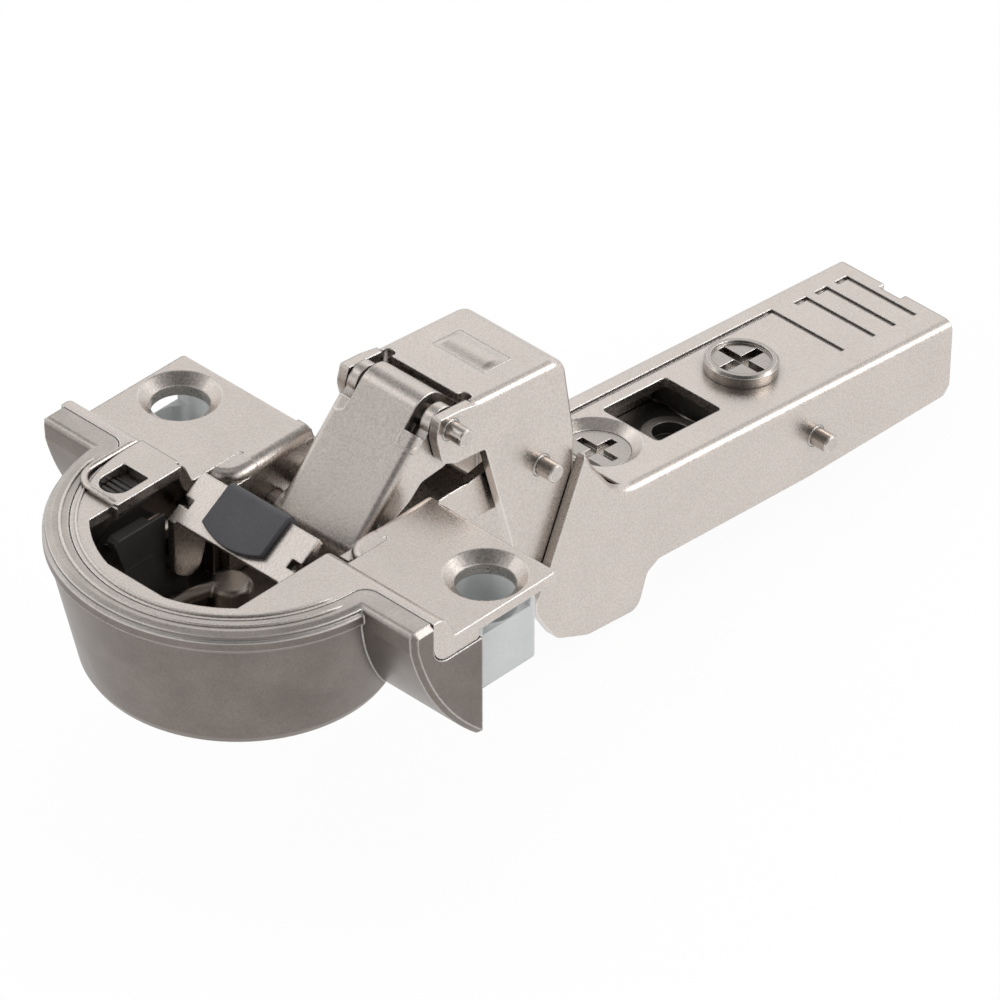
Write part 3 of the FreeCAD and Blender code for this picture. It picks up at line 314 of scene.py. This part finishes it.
def piece(mesh, name, look, slot, body, *nodes):
    bmesh.ops.remove_doubles(mesh, verts=mesh.verts, dist=WELD / 1000)
    bmesh.ops.dissolve_degenerate(mesh, edges=mesh.edges, dist=SLIVER / 1000)
    bmesh.ops.recalc_face_normals(mesh, faces=mesh.faces)
    # Shading blends the facets of a bend and keeps the large flat faces beside it flat
    normals = []
    for face in mesh.faces:
        face.smooth = True
        for corner in face.loops:
            total = Vector()
            for near in corner.vert.link_faces:
                if near.normal.dot(face.normal) > SAME_BEND:
                    total += near.normal * near.calc_area()
            normals.append(total.normalized() if total.length > 0 else face.normal)
    data = bpy.data.meshes.new(name)
    mesh.to_mesh(data)
    mesh.free()
    data.normals_split_custom_set([tuple(normal) for normal in normals])
    made = bpy.data.objects.new(name, data)
    bpy.context.scene.collection.objects.link(made)
    data.materials.append(look)
    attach(made, body)
    if nodes:
        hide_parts(*nodes)
    return made


WEB_TOP = 8.1
WEB_SLACK = 0.005
RIB_U, RIB_HALF_U, RIB_HALF_Y = 20.5, 2.1, 3.75
RIB_RISE, RIB_END, RIB_SUNK, RIB_FOOT = 0.36, 0.75, 0.004, 0.6
mesh = copy_of("knuckle")
for vert in mesh.verts:
    x, z = vert.co.x * 1000, vert.co.z * 1000 - SHEET
    over = ARM_SIN * x + ARM_COS * z - WEB_TOP
    if over > WEB_SLACK:
        vert.co -= ARM_UP * (over / 1000)
bmesh.ops.remove_doubles(mesh, verts=mesh.verts, dist=WEB_SLACK / 1000)
bmesh.ops.dissolve_degenerate(mesh, edges=mesh.edges, dist=WEB_SLACK / 1000)
swell = bmesh.ops.create_grid(mesh, x_segments=16, y_segments=36, size=1.0)
faces = list({face for vert in swell["verts"] for face in vert.link_faces})
for vert in swell["verts"]:
    across, along = vert.co.x, vert.co.y
    end = min(1.0, (1.0 - abs(along)) * RIB_HALF_Y / RIB_END)
    crown = math.cos(across * math.pi / 2) ** 1.2
    rise = RIB_RISE * crown * math.sin(end * math.pi / 2) ** 1.5 - RIB_SUNK
    vert.co = on_arm(RIB_U + across * RIB_HALF_U, along * RIB_HALF_Y, WEB_TOP + rise)
skin = bmesh.ops.extrude_face_region(mesh, geom=faces)
for item in skin["geom"]:
    if isinstance(item, bmesh.types.BMVert):
        item.co -= ARM_UP * (RIB_FOOT / 1000)
piece(mesh, "knuckle_with_rib", pressed_nickel, "nickel_steel", "knuckle", "knuckle")

# Soft-close lever: a pressed plate with two flanges down to its pivot. The front corner of each
# flange lies flush under the plate's front edge.
PLATE_FRONT, PLATE_UNDER = -15.7, -0.5
FLANGE_Y, CORNER_FOOT = 7.0, -6.8
mesh = copy_of("soft_close_lever")
for vert in mesh.verts:
    x, y, z = vert.co.x * 1000, vert.co.y * 1000, vert.co.z * 1000 - SHEET
    if x < PLATE_FRONT and abs(y) > FLANGE_Y:
        if z > CORNER_FOOT:
            vert.co.x = PLATE_FRONT / 1000
        if z > PLATE_UNDER:
            vert.co.z = (PLATE_UNDER + SHEET) / 1000
piece(mesh, "soft_close_plate", pressed_nickel, "lever_steel", "lever", "soft_close_lever")

# Outer link: sheet rolled round both pins. The relief beside its front roll is short, so the bend
# of the web runs on up to it. Places are along the link, across it and out from its pin line.
LINK = Vector((11.0, 0.0, 11.45)).normalized()
LINK_OUT = Vector((-LINK.z, 0.0, LINK.x))
CUP_PIN = (-0.5, 0, -6.2)
FILL_START, FILL_LENGTH = 11.7, 1.9
WEB_Y, WEB_OUT = 3.8, 1.5
BEND_Y, BEND_OUT, BEND_R = 4.8, 1.6, 1.195
section = [(WEB_Y, WEB_OUT), (WEB_Y, BEND_OUT + BEND_R), (BEND_Y, BEND_OUT + BEND_R)]
for step in range(1, 7):
    turn = step * math.pi / 12
    section.append((BEND_Y + BEND_R * math.sin(turn), BEND_OUT + BEND_R * math.cos(turn)))
section.append((BEND_Y + BEND_R, WEB_OUT))
mesh = copy_of("outer_link")
for side in (-1, 1):
    face = mesh.faces.new([
        mesh.verts.new(
            at(*CUP_PIN) + (LINK * FILL_START + LINK_OUT * out) / 1000 + Vector((0, side * y / 1000, 0)))
        for y, out in section])
    for item in bmesh.ops.extrude_face_region(mesh, geom=[face])["geom"]:
        if isinstance(item, bmesh.types.BMVert):
            item.co += LINK * (FILL_LENGTH / 1000)
piece(mesh, "outer_link_rolled", pressed_nickel, "nickel_steel", "outer_link", "outer_link")

# Arm: a long channel of the same sheet. The cut edges of its eared front are broad and rounded,
# so they catch the light as a pale strip beside the knuckle.
ARM_EDGE = 0.55
ARM_SIDE_Y, ARM_FRONT_END = 8.6, 32.5
LEVEL_ANGLE = 0.01
SIDE_FACE, CUT_FACE = 0.99, 0.05
mesh = copy_of("arm")
bmesh.ops.dissolve_limit(mesh, angle_limit=LEVEL_ANGLE, verts=mesh.verts, edges=mesh.edges)
front = []
for edge in mesh.edges:
    middle = (edge.verts[0].co + edge.verts[1].co) / 2 * 1000
    if len(edge.link_faces) == 2 and abs(middle.y) > ARM_SIDE_Y and middle.x < ARM_FRONT_END:
        sideways = [abs(face.normal.y) for face in edge.link_faces]
        if max(sideways) > SIDE_FACE and min(sideways) < CUT_FACE:
            front.append(edge)
bmesh.ops.bevel(mesh, geom=front, offset=ARM_EDGE / 1000, offset_type="OFFSET", affect="EDGES",
                segments=3, profile=0.5, material=-1, clamp_overlap=True)
piece(mesh, "arm_with_rounded_front", pressed_nickel, "nickel_steel", "arm", "arm")


# Cup, inside: a low boss and a rounded rib cast in the floor of the bowl, below the lever. They
# are part of the zinc casting, and the bowl's painted shade darkens them as it does the bowl round them.
def tube(mesh, points, radius, around=12):
    rings = []
    for number, centre in enumerate(points):
        ahead = points[min(number + 1, len(points) - 1)] - points[max(number - 1, 0)]
        turn = ahead.to_track_quat("Z", "Y").to_matrix().to_4x4()
        ring = bmesh.ops.create_circle(
            mesh, cap_ends=number in (0, len(points) - 1), segments=around, radius=radius / 1000,
            matrix=Matrix.Translation(centre) @ turn)["verts"]
        rings.append({edge for vert in ring for edge in vert.link_edges})
    for first, second in zip(rings, rings[1:]):
        bmesh.ops.bridge_loops(mesh, edges=list(first | second))


def lathe(mesh, profile, centre, axis, steps=48):
    verts = [mesh.verts.new(centre + Vector(point) / 1000) for point in profile]
    edges = [mesh.edges.new(pair) for pair in zip(verts, verts[1:])]
    bmesh.ops.spin(mesh, geom=verts + edges, cent=centre, axis=axis, angle=math.tau, steps=steps,
                   use_merge=True)


BOSS_R = 2.4
BOSS_FOOT = (-10.6, 4.4, -12.7)
BOSS_PROFILE = (
    (0, 0, 0), (BOSS_R + 0.8, 0, 0), (BOSS_R + 0.25, 0, 0.5), (BOSS_R, 0, 1.4),
    (BOSS_R, 0, 2.7), (BOSS_R - 0.2, 0, 3.2), (BOSS_R - 0.6, 0, 3.5), (0, 0, 3.55))
BOWL_RIB_R = 0.9
BOWL_RIB = (
    (-17.6, 7.4, -11.9), (-16.6, 7.2, -10.6), (-15.0, 6.7, -10.2), (-12.2, 5.6, -10.0), (-11.2, 4.9, -10.4))
mesh = bmesh.new()
lathe(mesh, BOSS_PROFILE, at(*BOSS_FOOT), (0, 0, 1))
tube(mesh, [at(*point) for point in BOWL_RIB], BOWL_RIB_R)
piece(mesh, "bowl_boss_and_rib", cast_nickel, "nickel_casting", "cup")

# Cup plate, round the switch: the field that the switch slides in is pressed up from the sheet,
# which leaves a soft rounded rim along its side, round its corner and down to the ring.
RIM_Z = 3.36
RIM_R = 0.4
CORNER_X, CORNER_Y, CORNER_R = -18.4, 14.2, 2.7
rim = [at(-11.9, 16.9, RIM_Z - 0.2), at(-13.0, 16.9, RIM_Z)]
for step in range(7):
    turn = step * math.pi / 12
    rim.append(at(CORNER_X - CORNER_R * math.sin(turn), CORNER_Y + CORNER_R * math.cos(turn), RIM_Z))
rim += [at(-21.1, 11.4, RIM_Z), at(-20.9, 10.5, RIM_Z - 0.3)]
mesh = bmesh.new()
tube(mesh, rim, RIM_R)
piece(mesh, "switch_field_rim", pressed_nickel, "nickel_steel", "cup")

# Cup plate, ring: two fine rounded beads are pressed in the ring, one near its inner edge and one
# near its outer edge. They sink into the sheet towards their ends.
BEADS = ((16.85, 0.2), (18.55, 0.22))
BEAD_Z = 3.02
BEAD_END, BEAD_FADE, BEAD_FALL = 84, 76, 0.05
mesh = bmesh.new()
for radius, thick in BEADS:
    bead = []
    for degrees in range(-BEAD_END, BEAD_END + 1, 4):
        turn = math.radians(degrees)
        fall = BEAD_FALL * max(0, abs(degrees) - BEAD_FADE)
        bead.append(at(RING_X * 1000 - radius * math.cos(turn), radius * math.sin(turn), BEAD_Z - fall))
    tube(mesh, bead, thick, 8)
piece(mesh, "ring_beads", pressed_nickel, "nickel_steel", "cup")

# Cup plate, side walls: the bend between flange and side wall runs out at the front in a rounded
# end, one on each side of the links. It is the same sheet, with a soft upper edge.
BEND_END_PLAN = (
    (-7.3, 11.3), (-6.9, 9.9), (-6.1, 8.9), (-5.2, 8.4), (-4.0, 8.21), (-2.5, 8.21), (-2.5, 11.3))
BEND_END_FOOT, BEND_END_TOP = -1.6, -0.01
BEND_END_EDGE = 1.1
LONGEST_ARC_EDGE = 1.6
mesh = bmesh.new()
for side in (-1, 1):
    foot = mesh.faces.new([mesh.verts.new(at(x, side * y, BEND_END_FOOT)) for x, y in BEND_END_PLAN])
    raised = bmesh.ops.extrude_face_region(mesh, geom=[foot])["geom"]
    raised = [item for item in raised if isinstance(item, bmesh.types.BMVert)]
    for vert in raised:
        vert.co.z = (SHEET + BEND_END_TOP) / 1000
    upper = [edge for edge in mesh.edges if edge.verts[0] in raised and edge.verts[1] in raised]
    arc = [edge for edge in upper if edge.calc_length() < LONGEST_ARC_EDGE / 1000]
    bmesh.ops.bevel(mesh, geom=arc, offset=BEND_END_EDGE / 1000, offset_type="OFFSET", affect="EDGES",
                    segments=4, profile=0.5, material=-1, clamp_overlap=True)
piece(mesh, "side_wall_bend_ends", pressed_nickel, "nickel_steel", "cup")

# Frame blocks: milky clear polyamide, injection moulded, that fill the frame behind the flanges.
# Light passes through them a little way, so they look like frosted ice.
MOULD_GRAIN_MM = 0.15
MOULD_FLOW_MM = 5.0
MOULD_DEPTH_MM = 0.02
MOULD_EDGE_MM = 0.3


def moulded(name, colour, roughness, bump=0.3, clear=0.0, mottle=0.15):
    look = bpy.data.materials.new(name)
    look.use_nodes = True
    tree = look.node_tree
    shader = tree.nodes["Principled BSDF"]
    where = add(tree, "ShaderNodeTexCoord")
    grain = add(tree, "ShaderNodeTexNoise", {
        "Vector": where.outputs["Object"], "Scale": 1000 / MOULD_GRAIN_MM / 2, "Detail": 2.0})
    flow = add(tree, "ShaderNodeTexNoise", {
        "Vector": where.outputs["Object"], "Scale": 1000 / MOULD_FLOW_MM, "Detail": 2.0})
    fine = add(tree, "ShaderNodeMapRange", {"Value": grain.outputs["Fac"]}, (0.3, 0.7, 1.0 - mottle, 1.0))
    wide = add(tree, "ShaderNodeMapRange", {"Value": flow.outputs["Fac"]}, (0.3, 0.7, 1.0 - mottle, 1.0))
    both = add(tree, "ShaderNodeMath", {0: fine.outputs[0], 1: wide.outputs[0]}, operation="MULTIPLY")
    tone = add(tree, "ShaderNodeMix", {"Factor": 1.0, "A": linear(colour), "B": both.outputs[0]},
               data_type="RGBA", blend_type="MULTIPLY")
    rounded = add(tree, "ShaderNodeBevel", {"Radius": MOULD_EDGE_MM / 1000}, samples=4)
    relief = add(tree, "ShaderNodeBump", {
        "Strength": bump, "Distance": MOULD_DEPTH_MM / 1000, "Height": grain.outputs["Fac"],
        "Normal": rounded.outputs[0]})
    tree.links.new(tone.outputs["Result"], shader.inputs["Base Color"])
    tree.links.new(relief.outputs[0], shader.inputs["Normal"])
    shader.inputs["Roughness"].default_value = roughness
    shader.inputs["IOR"].default_value = 1.5
    shader.inputs["Transmission Weight"].default_value = clear
    return look


milky = moulded("milky_clear_polyamide", "EEF1F1", 0.38, bump=0.1, clear=0.35, mottle=0.06)
dress(milky, "frame_block_left", "frame_block_right")

# Pins and damper rods: turned steel, nickel plated. They are smoother than the pressed pieces and
# mirror more of the room.
pin_nickel = nickel("turned_nickel_on_steel", "D2CAC3", 0.20, grain=0.25, edge_mm=0.22)
dress(pin_nickel, "link_pin", "inner_link_pin", "tail_pin", "damper_cylinder", "damper_rod")

# Knuckle pins and the arm's rear pin: each is stepped down where it stands out of the sheet, with
# a flat end and a small chamfer. The knuckle's two end flush at its far ear.
PIN_R, STEP_R, TIP_R = 1.3, 1.08, 0.9
CHAMFER = 0.2
KNUCKLE_PINS = (("front_pin", 10.5, 5.25), ("rear_pin", 24.2, -6.7))
NEAR_TIP, NEAR_SHOULDER, FAR_END = 9.65, 7.33, 7.5
REAR_PIN_U, REAR_PIN_H = 68.2, -18.13
REAR_TIP, REAR_SHOULDER = 11.0, 8.63


def stepped_end(side, tip, shoulder):
    return [
        (0, side * tip, 0), (TIP_R, side * tip, 0), (STEP_R, side * (tip - CHAMFER), 0),
        (STEP_R, side * shoulder, 0), (PIN_R, side * shoulder, 0)]


flush_end = [(PIN_R, FAR_END - CHAMFER, 0), (PIN_R - CHAMFER, FAR_END, 0), (0, FAR_END, 0)]
for name, x, z in KNUCKLE_PINS:
    mesh = bmesh.new()
    lathe(mesh, stepped_end(-1, NEAR_TIP, NEAR_SHOULDER) + flush_end, at(x, 0, z), (0, 1, 0))
    piece(mesh, name + "_turned", pin_nickel, "pin_steel", "knuckle", name)
mesh = bmesh.new()
profile = stepped_end(-1, REAR_TIP, REAR_SHOULDER) + stepped_end(1, REAR_TIP, REAR_SHOULDER)[::-1]
lathe(mesh, profile, on_arm(REAR_PIN_U, 0, REAR_PIN_H), (0, 1, 0))
piece(mesh, "arm_rear_pin_turned", pin_nickel, "pin_steel", "arm", "arm_rear_pin")

# Springs: a leaf that closes the hinge and a coil that holds its clip, both of oiled spring steel.
# Without plating they are darker and browner than the rest.
# Its edge colour is the painted highlight along its edges
spring_steel = nickel("oiled_spring_steel", "8C8681", 0.30, edge_highlight_colour="B5AFA9")
dress(spring_steel, "closing_spring", "clip_spring")

# Adjusting block: a plain zinc casting that is seen through the arm's window. It isn't plated,
# so it is dull and grey.
# Its edge colour is the painted highlight along its edges
zinc = nickel("plain_zinc_casting", "86827E", 0.46, edge_highlight_colour="D6D2CD", mottle=0.15)
dress(zinc, "adjusting_block")

# Screws: headed steel, nickel plated, for depth and side adjustment. Their finish is bright and a
# little darker than the arm's, and their cross recesses take the occlusion's painted shade.
screw_nickel = nickel("bright_nickel_screw", "BDB6B0", 0.22, grain=0.3)
dress(screw_nickel, "depth_screw", "side_screw")

# Damper slider and switch: black acetal, injection moulded. The mould was spark eroded, which
# leaves a matt face.
black_acetal = moulded("black_acetal_moulding", "3A3836", 0.42)
dress(black_acetal, "damper_slider", "switch_slider")

# Damper housing: a black acetal moulding against the bowl's wall. Its face towards the lever is
# flat, slants back at its front end and stops below the ring.
FRONT_SLANT = ((-23.2, 0, 0.0), (-0.958, 0, -0.286))
TOP_CUT = ((0, 0, -4.19), (0, 0, 1))
CUT_SLACK = 0.0001
COVER_Y = (8.70, 8.93)
COVER = (
    (-23.1, -0.4), (-22.6, 0.15), (-15.85, 0.15), (-15.85, -9.2),
    (-19.2, -9.2), (-20.6, -8.2), (-21.4, -5.6))
BACKING_Y = (8.90, 10.2)
BACKING = (
    (-22.9, -0.4), (-22.5, 0.1), (-17.8, 0.1), (-17.8, -9.2),
    (-19.2, -9.2), (-20.5, -8.2), (-21.3, -5.6))
mesh = copy_of("damper_housing")
for point, normal in (FRONT_SLANT, TOP_CUT):
    cut = bmesh.ops.bisect_plane(
        mesh, geom=mesh.verts[:] + mesh.edges[:] + mesh.faces[:], dist=CUT_SLACK / 1000,
        plane_co=at(*point), plane_no=normal, clear_outer=True)["geom_cut"]
    border = [item for item in cut if isinstance(item, bmesh.types.BMEdge)]
    bmesh.ops.holes_fill(mesh, edges=border, sides=0)
for outline, (near_y, far_y) in ((COVER, COVER_Y), (BACKING, BACKING_Y)):
    face = mesh.faces.new([mesh.verts.new(at(x, near_y, z)) for x, z in outline])
    for item in bmesh.ops.extrude_face_region(mesh, geom=[face])["geom"]:
        if isinstance(item, bmesh.types.BMVert):
            item.co.y = far_y / 1000
piece(mesh, "damper_housing_faced", black_acetal, "black_plastic", "cup", "damper_housing")

# Pad: a dark grey elastomer, moulded on to the lever's plate, that softens its touch as the hinge
# closes. It is quite matt.
grey_elastomer = moulded("dark_grey_elastomer", "4C4C50", 0.6, bump=0.5)
dress(grey_elastomer, "lever_pad")
